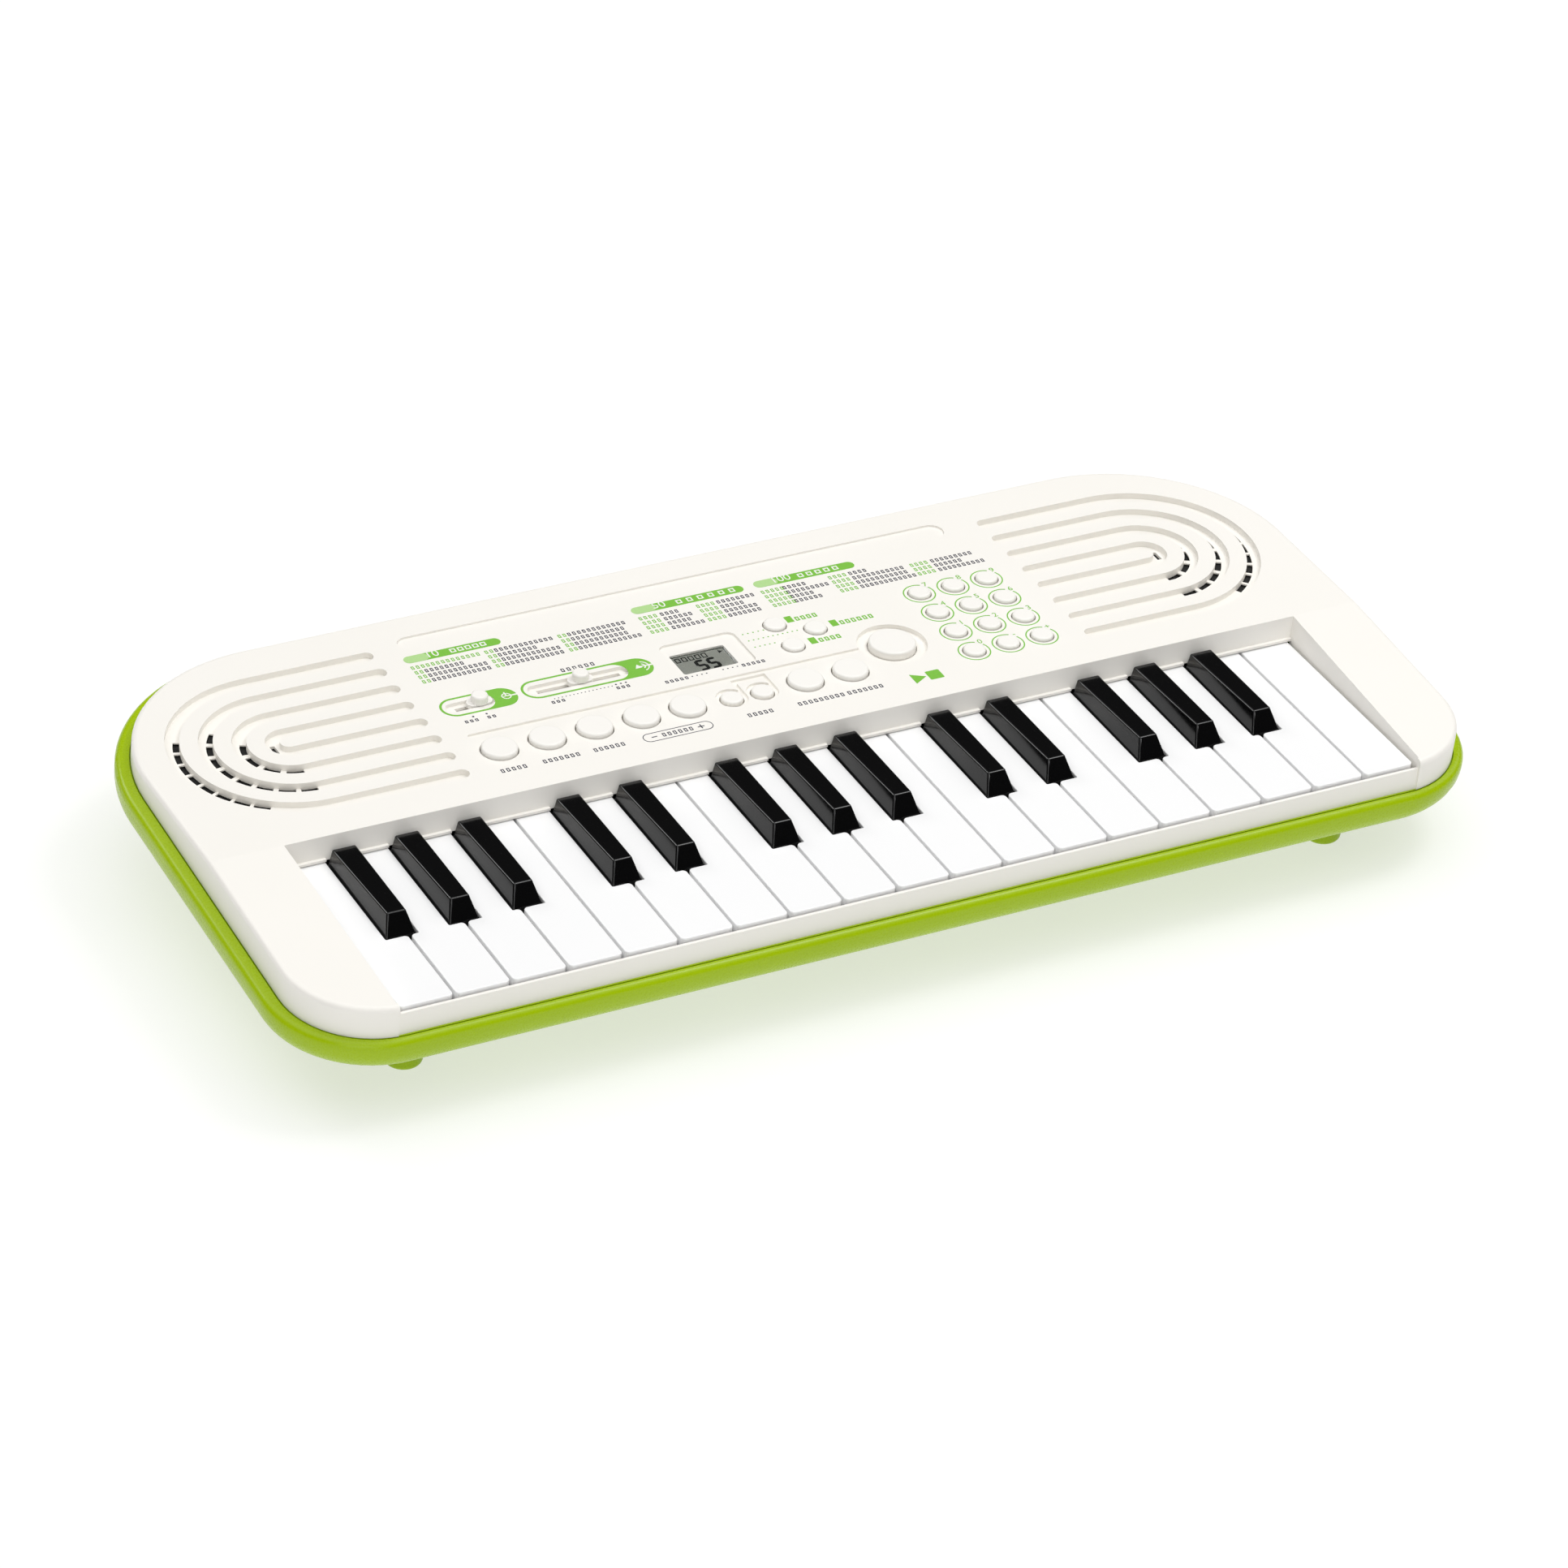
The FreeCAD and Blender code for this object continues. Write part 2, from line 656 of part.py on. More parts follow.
def black_key(index):
    x = slot_centre(index)
    half = black_base_half
    front = key_front_y + black_front
    back = key_front_y + black_back
    base_z0 = key_top_z - 0.6
    skirt = box(x - half, x + half, front, back, key_top_z - 6.4, base_z0)
    base = Part.makePolygon([vec(x - half, front, base_z0), vec(x + half, front, base_z0),
                             vec(x + half, back, base_z0), vec(x - half, back, base_z0),
                             vec(x - half, front, base_z0)])
    top_front = key_top_z + black_top_front
    top_back = key_top_z + black_top_back
    crest_front = front + 4.0
    crest_back = back - 0.5
    crest = Part.makePolygon([vec(x - black_crest_front, crest_front, top_front),
                              vec(x + black_crest_front, crest_front, top_front),
                              vec(x + black_crest_back, crest_back, top_back),
                              vec(x - black_crest_back, crest_back, top_back),
                              vec(x - black_crest_front, crest_front, top_front)])
    cap = Part.makeLoft([base, crest], True, True)
    cap = round_edges(cap, 0.7, lambda edge: edge.BoundBox.ZMax > key_top_z + 1)
    roof = key_top_z + 1.5
    pocket = box(x - half + 1.5, x + half - 1.5, front + 2, back - 2, key_top_z - 8, key_top_z - 1)
    plunger = box(x - 1.5, x + 1.5, plunger_y - 1.5, plunger_y + 1.5, key_top_z - 8.4, roof)
    arm_half = 2.3
    shape = fuse([skirt.fuse(cap).cut(pocket), plunger] + key_tail(x, arm_half, back - 1.5))
    return shape.cut(pivot_bore(x, arm_half)), x


def key_list():
    """(node name, shape, x of its arm) for all the keys, from the left."""
    keys = []
    number = 1
    for index, letter in enumerate(white_names):
        shape, x = white_key(index)
        keys.append(("white_key_%02d_%s" % (number, letter.lower()), shape, x))
        number += 1
        if slot_centre(index) is not None:
            shape, x = black_key(index)
            keys.append(("black_key_%02d_%s_sharp" % (number, letter.lower()), shape, x))
            number += 1
    return keys


# ---------------------------------------------------------------- key frame, contacts and boards
frame_floor_z = key_top_z - 22.0
contact_board_z = key_top_z - 16.0


def key_frame():
    x_end = half_keys + 3.6
    plate = box(-x_end, x_end, key_front_y + 26, key_front_y + 125, frame_floor_z, frame_floor_z + 2)
    parts = [plate]
    bracket_places = [-half_keys - 2.2, half_keys + 2.2]
    for index in range(len(white_names) - 1):
        if slot_centre(index) is None:
            bracket_places.append(white_x(index + 1))
    for x in bracket_places:
        upright = box(x - 1.2, x + 1.2, pivot_y - 4, pivot_y + 4, frame_floor_z, pivot_z)
        parts.append(upright)
        parts.append(bar_x(x - 1.2, x + 1.2, pivot_y, pivot_z, 3.5))
    for x in (-150.0, -50.0, 50.0, 150.0):
        parts.append(box(x - 1.5, x + 1.5, key_front_y + 40, key_front_y + 124, base_z + skin, frame_floor_z + 1))
    for y in (key_front_y + 34, key_front_y + 74):
        parts.append(box(-half_keys + 4, half_keys - 4, y - 1, y + 1, frame_floor_z, contact_board_z - board_thick))
    body = fuse(parts).cut(bar_x(-half_keys - 9, half_keys + 9, pivot_y, pivot_z, rod_radius + 0.02))
    rod = bar_x(-half_keys - 3.4, half_keys + 3.4, pivot_y, pivot_z, rod_radius)
    return [body, rod]


def contact_rubbers(places):
    strip = box(-half_keys + 6, half_keys - 6, plunger_y - 6, plunger_y + 6, contact_board_z, contact_board_z + 1)
    domes = []
    for x in places:
        domes.append(Part.makeCone(3.4, 2.2, 3.4, vec(x, plunger_y, contact_board_z + 0.9), vec(0, 0, 1)))
    return fuse([strip] + domes)


def circuit_boards():
    contact_board = box(-half_keys + 4, half_keys - 4, key_front_y + 30, key_front_y + 78,
                        contact_board_z - board_thick, contact_board_z)
    board_bottom = board_top_z - board_thick
    control_board = box(-110.0, 110.0, key_front_y + 99, key_front_y + 152, board_bottom, board_top_z)
    glass_x0, glass_x1, glass_y0, glass_y1 = display_glass
    switches = []
    for x, y, _ in button_places():
        switches.append(box(x - 2.2, x + 2.2, y - 2.2, y + 2.2, board_top_z, board_top_z + switch_height))
    for x0, x1 in (power_slot, volume_slot):
        switches.append(box(x0, x1, slider_y - 3, slider_y + 3, board_top_z, board_top_z + 1.0))
    chip = box(40.0, 58.0, key_front_y + 135, key_front_y + 149, board_top_z, board_top_z + 1.4)
    holes = [post(x, y, 30, 50, post_radius + 0.6) for x, y in post_places]
    return [contact_board, fuse([control_board, chip] + switches).cut(holes)]


# ---------------------------------------------------------------- buttons and sliders
def button_cap(x, y, radius, rise=button_rise):
    cap_top = panel_z + rise
    cap = post(x, y, flange_top - flange_thick, cap_top, radius)
    cap = round_edges(cap, 0.8, lambda edge: edge_on_plane(edge, vec(0, 0, cap_top), vec(0, 0, 1)))
    flange = post(x, y, flange_top - flange_thick, flange_top, radius + flange_extra)
    stem = post(x, y, stem_bottom, flange_top, stem_radius)
    return fuse([cap, flange, stem])


def slider_knob(x, slot):
    """Round thumb knob on an oval foot, with a shutter strip and a stem down to the slide switch."""
    foot_z0 = panel_z - slot_depth + 0.3
    foot_z1 = panel_z + 0.5
    top = panel_z + knob_top
    base = pill(x - knob_foot_half, x + knob_foot_half, slider_y, slot_half - 0.35, foot_z0, foot_z1)
    knob = post(x, slider_y, foot_z1 - 0.1, top, knob_radius)
    knob = round_edges(knob, 0.9, lambda edge: edge_on_plane(edge, vec(0, 0, top), vec(0, 0, 1)))
    stem = box(x - 1.4, x + 1.4, slider_y - 0.6, slider_y + 0.6, board_top_z + 1.3, foot_z0 + 0.5)
    shutter_top = panel_z - skin - 0.3
    shutter = box(slot[0] + slit_inset - 0.6, slot[1] - slit_inset + 0.6, slider_y - shutter_half,
                  slider_y + shutter_half, shutter_top - shutter_thick, shutter_top)
    return fuse([base, knob, stem, shutter])


# ---------------------------------------------------------------- other pieces
def display_window():
    x0, x1, y0, y1 = display_glass
    gap = 0.15
    floor = panel_z - display_recess_depth
    return rounded_box(x0 + gap, x1 - gap, y0 + gap, y1 - gap, floor - 1.4, floor - 0.4, 0.7)


def display_panel():
    x0, x1, y0, y1 = display_glass
    return box(x0 + 0.4, x1 - 0.4, y0 + 0.4, y1 - 0.4, board_top_z + 0.02, panel_z - display_recess_depth - 1.5)


def speaker(x):
    y = grille_y + 5.0
    rim_z = panel_z - skin - pad_depth - 0.2
    rim = post(x, y, rim_z - 1.2, rim_z, 25.5).cut(post(x, y, rim_z - 2, rim_z + 1, 21.5))
    basket = Part.makeCone(13.5, 23.0, 5.6, vec(x, y, rim_z - 6.4), vec(0, 0, 1))
    cone_space = Part.makeCone(10.0, 21.5, 5.6, vec(x, y, rim_z - 5.0), vec(0, 0, 1))
    magnet = post(x, y, rim_z - 14.4, rim_z - 6.0, 13.5)
    frame = fuse([rim, basket.cut(cone_space), magnet])
    dust_cap = post(x, y, rim_z - 5.0, rim_z - 3.4, 6.0)
    return frame.fuse(dust_cap)


def battery_cover():
    gap = cover_gap
    z0 = base_z
    z1 = base_z + cover_thick
    plate = rounded_box(-bay_half - cover_margin + gap, bay_half + cover_margin - gap,
                        bay_y0 - cover_margin + gap, bay_y1 + cover_margin - gap, z0, z1, 1.0)
    ribs = [box(x - 0.6, x + 0.6, bay_y0 + 4, bay_y1 - 4, z1 - 0.2, z1 + 0.6) for x in (-30.0, -15.0, 0.0, 15.0, 30.0)]
    grooves = []
    for i in range(4):
        y = bay_y1 - 4.0 - 2.4 * i
        grooves.append(box(-9.0, 9.0, y - 0.6, y + 0.6, z0 - 1, z0 + 0.6))
    return fuse([plate] + ribs).cut(grooves)


def battery_contacts():
    """A sprung plate and a flat plate at the ends of each row of two cells."""
    plates = []
    middle_y = (bay_y0 + bay_y1) / 2
    for row in (-1, 0, 1):
        y = middle_y + row * cell_pitch
        for side in (-1, 1):
            sprung = side * (-1) ** row > 0
            reach = 2.6 if sprung else 1.0
            radius = 3.4 if sprung else 2.4
            wall = side * (bay_half - 0.05)
            face = side * (bay_half - 0.45)
            tip = face - side * reach
            plate = box(min(wall, face), max(wall, face), y - 5.5, y + 5.5, 6.5, 18.5)
            button = bar_x(min(face, tip), max(face, tip), y, cell_axis_z, radius)
            plates.append(plate.fuse(button).removeSplitter())
    return plates


def rear_jacks():
    """Headphone socket, power socket with its pin, and the small board under both."""
    back = jack_wall_back
    phones = bar_y(back - 11, jack_wall_y + 0.3, phones_x, jack_z, phones_nose)
    phones = fuse([phones, box(phones_x - 4.5, phones_x + 4.5, back - 11, back - 0.1, jack_z - 4.5, jack_z + 4.5)])
    phones = phones.cut(bar_y(back - 10, jack_wall_y + 1, phones_x, jack_z, phones_bore))
    supply = bar_y(back - 11, jack_wall_y + 0.3, supply_x, jack_z, supply_nose)
    supply = fuse([supply, box(supply_x - 5.0, supply_x + 5.0, back - 11, back - 0.1, jack_z - 5.0, jack_z + 5.0)])
    supply = supply.cut(bar_y(back - 9, jack_wall_y + 1, supply_x, jack_z, supply_bore))
    supply = fuse([supply, bar_y(back - 10, jack_wall_y - 1, supply_x, jack_z, 0.8)])
    board = box(phones_x - 6, supply_x + 7, back - 13, back - 2, jack_z - 6.8, jack_z - 5.1)
    return [phones, supply, board]


def case_screws():
    screws = []
    for x, y in post_places:
        head = post(x, y, base_z + 1.6, base_z + 3.3, 2.9)
        cross = box(x - 1.8, x + 1.8, y - 0.4, y + 0.4, base_z, base_z + 2.4)
        cross = cross.fuse(box(x - 0.4, x + 0.4, y - 1.8, y + 1.8, base_z, base_z + 2.4))
        shank = post(x, y, base_z + 3.2, post_bottom_z + 9, 1.05)
        screws.append(head.fuse(shank).removeSplitter().cut(cross))
    return screws


# ---------------------------------------------------------------- write every node
def main():
    os.makedirs("parts", exist_ok=True)
    save("upper_case", upper_case())
    save("lower_case", lower_case())
    keys = key_list()
    for name, shape, _ in keys:
        save(name, shape)
    save("key_frame", key_frame())
    save("contact_rubbers", contact_rubbers([x for _, _, x in keys]))
    save("circuit_boards", circuit_boards())
    for name, x in round_buttons.items():
        save(name, button_cap(x, round_row_y, round_button_radius))
    for name, x in tempo_buttons.items():
        save(name, button_cap(x, round_row_y, small_radius, 0.6))
    for name, (x, y) in mode_buttons.items():
        save(name, button_cap(x, y, small_radius, 1.2))
    save("start_stop_button", button_cap(start_stop_x, start_stop_y, start_stop_radius, 1.2))
    keypad = [button_cap(x, y, small_radius, 1.2) for x in keypad_columns for y in keypad_rows]
    save("number_keypad", keypad)
    save("power_switch_knob", slider_knob(power_knob_x, power_slot))
    save("volume_slider_knob", slider_knob(volume_knob_x, volume_slot))
    save("display_window", display_window())
    save("display_panel", display_panel())
    save("speakers", [speaker(-grille_x), speaker(grille_x)])
    save("battery_cover", battery_cover())
    save("battery_contacts", battery_contacts())
    save("rear_jacks", rear_jacks())
    save("case_screws", case_screws())


main()
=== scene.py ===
import json
import math

import bmesh
import bpy
from mathutils import Matrix, Vector


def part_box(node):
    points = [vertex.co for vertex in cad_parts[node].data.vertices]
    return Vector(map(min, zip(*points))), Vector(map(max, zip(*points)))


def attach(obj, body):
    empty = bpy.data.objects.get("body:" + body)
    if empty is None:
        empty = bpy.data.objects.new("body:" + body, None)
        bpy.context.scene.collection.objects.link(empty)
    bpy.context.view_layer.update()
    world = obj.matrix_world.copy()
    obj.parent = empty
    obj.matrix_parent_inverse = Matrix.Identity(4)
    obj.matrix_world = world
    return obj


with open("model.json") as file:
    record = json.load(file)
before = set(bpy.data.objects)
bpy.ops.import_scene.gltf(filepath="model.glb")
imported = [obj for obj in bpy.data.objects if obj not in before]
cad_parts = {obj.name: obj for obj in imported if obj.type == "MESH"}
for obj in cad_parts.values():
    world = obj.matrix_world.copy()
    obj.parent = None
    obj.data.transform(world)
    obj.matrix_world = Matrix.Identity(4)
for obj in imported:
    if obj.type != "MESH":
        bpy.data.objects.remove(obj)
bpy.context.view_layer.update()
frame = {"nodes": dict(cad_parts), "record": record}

# ---------------------------------------------------------------- sizes, in metres, worked out from the frame
mm = 0.001
case_body = "case"
panel_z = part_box("upper_case")[1][2]          # top of the control panel
key_front_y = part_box("white_key_01_f")[0][1]  # front ends of the white keys
display_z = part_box("display_panel")[1][2]     # top of the display's reflector
speaker_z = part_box("speakers")[1][2]          # top of the speakers' rims

film = 0.05 * mm                              # thickness of the printed ink
ink_sink = 0.01 * mm                          # the ink sinks this far into its base, to leave no gap
first_coat = panel_z - ink_sink               # underside of ink printed on the panel itself
second_coat = panel_z + 0.5 * film            # underside of ink printed over a first coat
third_coat = panel_z + 0.9 * film             # underside of ink printed over a second coat


def panel_y(behind_keys):
    """Y of a point on the panel, from its distance in mm behind the white keys' front ends."""
    return key_front_y + behind_keys * mm


# ---------------------------------------------------------------- materials
def linear(hex_colour):
    """sRGB hex value, such as #7DC142, to linear colour with alpha."""
    channels = [int(hex_colour[i:i + 2], 16) / 255 for i in (1, 3, 5)]
    return [c / 12.92 if c <= 0.04045 else ((c + 0.055) / 1.055) ** 2.4 for c in channels] + [1.0]


def add(tree, kind, inputs=None, **settings):
    """A node with its settings; inputs maps a socket to a value or to the output that feeds it."""
    made = tree.nodes.new(kind)
    for name, value in settings.items():
        setattr(made, name, value)
    for name, value in (inputs or {}).items():
        if isinstance(value, bpy.types.NodeSocket):
            tree.links.new(value, made.inputs[name])
        else:
            made.inputs[name].default_value = value
    return made


def blank_material(name):
    """A new material and its empty node tree."""
    material = bpy.data.materials.new(name)
    material.use_nodes = True
    material.node_tree.nodes.clear()
    return material, material.node_tree


tone_drift = 0.06      # size of the slow changes of tone across a moulding, in metres
polish_spread = 0.12   # how far the roughness strays from its mean
screen_mesh = 0.8 * mm  # ink thickness varies at this size, drawn coarser than the real mesh so that it shows


def moulded_plastic(name, colour, shade, roughness, grain_mm, grain_depth, coat=0.0, specular=0.5, ior=1.5):
    """Injection-moulded plastic: slight tone drift across the moulding, and the tool's spark-eroded grain."""
    material, tree = blank_material(name)
    place = add(tree, "ShaderNodeTexCoord").outputs["Object"]
    drift = add(tree, "ShaderNodeTexNoise", {"Vector": place, "Scale": 1 / tone_drift, "Detail": 2.0})
    tone = add(tree, "ShaderNodeMix", {"Factor": drift.outputs["Fac"]}, data_type="RGBA")
    tone.inputs["A"].default_value = linear(shade)
    tone.inputs["B"].default_value = linear(colour)
    grain = add(tree, "ShaderNodeTexNoise", {"Vector": place, "Scale": 1 / (grain_mm * mm), "Detail": 3.0})
    polish = add(tree, "ShaderNodeMapRange", {"Value": grain.outputs["Fac"], "From Min": 0.3, "From Max": 0.7,
                                              "To Min": roughness * (1 - polish_spread),
                                              "To Max": roughness * (1 + polish_spread)})
    bump = add(tree, "ShaderNodeBump", {"Height": grain.outputs["Fac"], "Strength": 0.25,
                                        "Distance": grain_depth * mm})
    surface = add(tree, "ShaderNodeBsdfPrincipled", {
        "Base Color": tone.outputs["Result"], "Roughness": polish.outputs["Result"],
        "Normal": bump.outputs["Normal"], "IOR": ior, "Specular IOR Level": specular, "Coat Weight": coat})
    add(tree, "ShaderNodeOutputMaterial", {"Surface": surface.outputs["BSDF"]})
    return material


def printed_ink(name, colour, roughness=0.42):
    """Screen-printed ink: a thin satin film whose density wavers a little with the mesh of the screen."""
    material, tree = blank_material(name)
    place = add(tree, "ShaderNodeTexCoord").outputs["Object"]
    screen = add(tree, "ShaderNodeTexNoise", {"Vector": place, "Scale": 1 / screen_mesh, "Detail": 2.0})
    base = linear(colour)
    density = add(tree, "ShaderNodeMix", {"Factor": screen.outputs["Fac"]}, data_type="RGBA")
    density.inputs["A"].default_value = [channel * 0.93 for channel in base[:3]] + [1.0]
    density.inputs["B"].default_value = [min(1.0, channel * 1.05) for channel in base[:3]] + [1.0]
    surface = add(tree, "ShaderNodeBsdfPrincipled",
                  {"Base Color": density.outputs["Result"], "Roughness": roughness, "IOR": 1.48})
    add(tree, "ShaderNodeOutputMaterial", {"Surface": surface.outputs["BSDF"]})
    return material


def acrylic_window():
    """Clear cast acrylic over the display: sharp reflections, with the reflector seen through it."""
    material, tree = blank_material("clear_acrylic")
    place = add(tree, "ShaderNodeTexCoord").outputs["Object"]
    haze = add(tree, "ShaderNodeTexNoise", {"Vector": place, "Scale": 1 / (3 * mm)})
    polish = add(tree, "ShaderNodeMapRange", {"Value": haze.outputs["Fac"], "To Min": 0.01, "To Max": 0.05})
    surface = add(tree, "ShaderNodeBsdfPrincipled", {
        "Base Color": linear("#F4F6F4"), "Roughness": polish.outputs["Result"], "IOR": 1.49,
        "Transmission Weight": 1.0})
    add(tree, "ShaderNodeOutputMaterial", {"Surface": surface.outputs["BSDF"]})
    return material


def plated_steel():
    """Nickel-plated spring steel and screws: drawn metal with fine scratches along X."""
    material, tree = blank_material("nickel_plated_steel")
    place = add(tree, "ShaderNodeTexCoord").outputs["Object"]
    stretch = add(tree, "ShaderNodeMapping", {"Vector": place, "Scale": (60.0, 900.0, 900.0)})
    scratch = add(tree, "ShaderNodeTexNoise", {
        "Vector": stretch.outputs["Vector"], "Scale": 3.0, "Detail": 4.0})
    polish = add(tree, "ShaderNodeMapRange", {
        "Value": scratch.outputs["Fac"], "To Min": 0.22, "To Max": 0.42})
    surface = add(tree, "ShaderNodeBsdfPrincipled", {
        "Base Color": linear("#C9C7C0"), "Roughness": polish.outputs["Result"], "Metallic": 1.0})
    add(tree, "ShaderNodeOutputMaterial", {"Surface": surface.outputs["BSDF"]})
    return material


def light_table():
    """Backlit white acrylic for the floor, as in product studios: it glows, so shadows on it stay faint."""
    material, tree = blank_material("light_table")
    place = add(tree, "ShaderNodeTexCoord").outputs["Object"]
    fibre = add(tree, "ShaderNodeTexNoise", {"Vector": place, "Scale": 40.0})
    tone = add(tree, "ShaderNodeMix", {"Factor": fibre.outputs["Fac"]}, data_type="RGBA")
    tone.inputs["A"].default_value = linear("#FBFBFB")
    tone.inputs["B"].default_value = linear("#FDFDFD")
    surface = add(tree, "ShaderNodeBsdfPrincipled", {
        "Base Color": linear("#AEAEAE"), "Roughness": 0.9, "Emission Color": tone.outputs["Result"],
        "Emission Strength": 0.6})
    add(tree, "ShaderNodeOutputMaterial", {"Surface": surface.outputs["BSDF"]})
    return material


# After its name: colour, shade, roughness, size of the grain in mm and its depth in mm.
# Textured ABS: satin, so lights spread over it. The grain is really about 0.2 mm and is drawn at 0.7 mm.
abs_white = moulded_plastic("abs_warm_white", "#F9F6F0", "#F6F3EC", 0.45, 0.7, 0.012)
abs_cap = moulded_plastic("abs_cap_white", "#FBF9F4", "#F8F5EF", 0.38, 0.6, 0.008)
# Semi-gloss ABS with lime pigment: the bead along the rim catches a clear highlight.
abs_green = moulded_plastic("abs_lime_green", "#A6C400", "#A0BE00", 0.28, 0.8, 0.01, specular=0.3)
# Polished ABS keys: white ones softly glossy, black ones nearly mirror-like.
key_white = moulded_plastic("polished_white_key", "#FDFDFD", "#FAFAFA", 0.22, 1.5, 0.004)
key_black = moulded_plastic("polished_black_key", "#060607", "#040404", 0.12, 1.5, 0.003)
# Pressed paper of the speakers, and the black sheets of painted shade under the grilles: matt and fibrous, so
# almost no highlight.
speaker_black = moulded_plastic("pressed_paper_and_painted_shade_black", "#161616", "#0E0E0E", 0.8, 0.9, 0.05)
# Solder mask over fibreglass board: a smooth lacquer.
board_green = moulded_plastic("solder_mask_green", "#1D6B3A", "#175A30", 0.3, 1.0, 0.01)
# Silicone rubber mat: matt with a soft, even grain.
rubber_grey = moulded_plastic("silicone_rubber_grey", "#8C8C8E", "#848486", 0.7, 1.2, 0.02)
# Black polystyrene: a plain satin moulding.
frame_black = moulded_plastic("polystyrene_black", "#202022", "#18181A", 0.5, 0.9, 0.01)
# The display's reflector behind the crystal: a flat silvery grey.
reflector_grey = moulded_plastic("display_reflector", "#C4C4BD", "#BCBCB5", 0.6, 0.5, 0.005)
# The crystal's dark segments: matt, as they are seen through the window.
segment_black = printed_ink("display_segment", "#050505", 0.6)
steel = plated_steel()
window_clear = acrylic_window()
# Satin screen inks of the panel.
ink_green = printed_ink("ink_leaf_green", "#7DC142")
ink_pale = printed_ink("ink_pale_green", "#B5DC93")
ink_navy = printed_ink("ink_navy", "#2B2B40")
ink_white = printed_ink("ink_white", "#F6F6F0")

slot_materials = {
    "case_white": abs_white,
    "tray_green": abs_green,
    "key_white": key_white,
    "key_black": key_black,
    "cap_white": abs_cap,
    "display_glass": window_clear,
    "display_grey": reflector_grey,
    "speaker_black": speaker_black,
    "board_green": board_green,
    "contact_rubber": rubber_grey,
    "frame_black": frame_black,
    "contact_steel": steel,
}


def finish_cad_nodes():
    """Give every CAD node the material of its slot."""
    slots = {part["node"]: part["material_slot"] for part in frame["record"]["subparts"]}
    for name, thing in frame["nodes"].items():
        material = slot_materials[slots[name]]
        thing.data.materials.clear()
        thing.data.materials.append(material)


# ---------------------------------------------------------------- modelling steps
def deselect():
    """Leave nothing selected."""
    bpy.ops.object.select_all(action="DESELECT")


def choose(thing):
    """Select one object alone and make it active."""
    deselect()
    thing.select_set(True)
    bpy.context.view_layer.objects.active = thing


def rectangle(x0, x1, y0, y1, z=first_coat):
    """Flat rectangle with its place in its mesh."""
    deselect()
    bpy.ops.mesh.primitive_plane_add(size=1, location=((x0 + x1) / 2, (y0 + y1) / 2, z))
    thing = bpy.context.object
    thing.scale = (x1 - x0, y1 - y0, 1)
    bpy.ops.object.transform_apply(location=True, rotation=True, scale=True)
    return thing


def round_corners(thing, radius, segments):
    """Round the corners of a flat shape."""
    choose(thing)
    bpy.ops.object.mode_set(mode="EDIT")
    bpy.ops.mesh.select_all(action="SELECT")
    bpy.ops.mesh.bevel(offset=radius, segments=segments, affect="VERTICES")
    bpy.ops.object.mode_set(mode="OBJECT")
    return thing


def pill(x0, x1, y, half, z=first_coat):
    """Flat bar with round ends; half is half of its height."""
    nearly_half = half * 0.999
    return round_corners(rectangle(x0, x1, y - half, y + half, z), nearly_half, 12)


def hollow_out(thing, line, right_end=0.0):
    """Leave only an outline of this width; right_end moves the hole's right end further in."""
    choose(thing)
    bpy.ops.object.mode_set(mode="EDIT")
    bpy.ops.mesh.select_all(action="SELECT")
    bpy.ops.mesh.inset(thickness=line, use_even_offset=True)
    mesh = bmesh.from_edit_mesh(thing.data)
    if right_end > 0:
        xs = [vertex.co.x for vertex in mesh.verts]
        middle = (min(xs) + max(xs)) / 2
        for vertex in mesh.verts:
            if vertex.select and vertex.co.x > middle:
                vertex.co.x -= right_end
    inner = [face for face in mesh.faces if face.select]
    bmesh.ops.delete(mesh, geom=inner, context="FACES_ONLY")
    bmesh.update_edit_mesh(thing.data)
    bpy.ops.object.mode_set(mode="OBJECT")
    return thing


def disc(x, y, radius, vertices=48, z=first_coat):
    """Flat disc; with three vertices it is a triangle that points towards the back."""
    deselect()
    bpy.ops.mesh.primitive_circle_add(vertices=vertices, radius=radius, fill_type="NGON", location=(x, y, z))
    thing = bpy.context.object
    bpy.ops.object.transform_apply(location=True, rotation=True, scale=True)
    return thing


def row_of(thing, count, step):
    """Repeat a flat shape along X, with this step from each one to the next."""
    choose(thing)
    array = thing.modifiers.new("row", "ARRAY")
    array.count = count
    array.use_relative_offset = False
    array.use_constant_offset = True
    array.constant_offset_displace = (step, 0, 0)
    bpy.ops.object.modifier_apply(modifier=array.name)
    return thing


def keep_right(thing, x):
    """Cut away what lies left of x."""
    choose(thing)
    bpy.ops.object.mode_set(mode="EDIT")
    bpy.ops.mesh.select_all(action="SELECT")
    bpy.ops.mesh.bisect(plane_co=(x, 0, 0), plane_no=(1, 0, 0), clear_inner=True)
    bpy.ops.object.mode_set(mode="OBJECT")
    return thing


def remove_near(thing, x, y, reach):
    """Remove the faces whose middles lie within reach of a point."""
    choose(thing)
    bpy.ops.object.mode_set(mode="EDIT")
    bpy.ops.mesh.select_all(action="DESELECT")
    mesh = bmesh.from_edit_mesh(thing.data)
    near = [face for face in mesh.faces if (face.calc_center_median().xy - Vector((x, y))).length < reach]
    bmesh.ops.delete(mesh, geom=near, context="FACES")
    bmesh.update_edit_mesh(thing.data)
    bpy.ops.object.mode_set(mode="OBJECT")
    return thing


def right_triangle(x, y, radius, z=first_coat):
    """Flat triangle that points to the right."""
    thing = disc(x, y, radius, 3, z)
    here = Vector((x, y, 0))
    quarter_turn = Matrix.Rotation(math.radians(-90), 4, "Z")
    thing.data.transform(Matrix.Translation(here) @ quarter_turn @ Matrix.Translation(-here))
    return thing


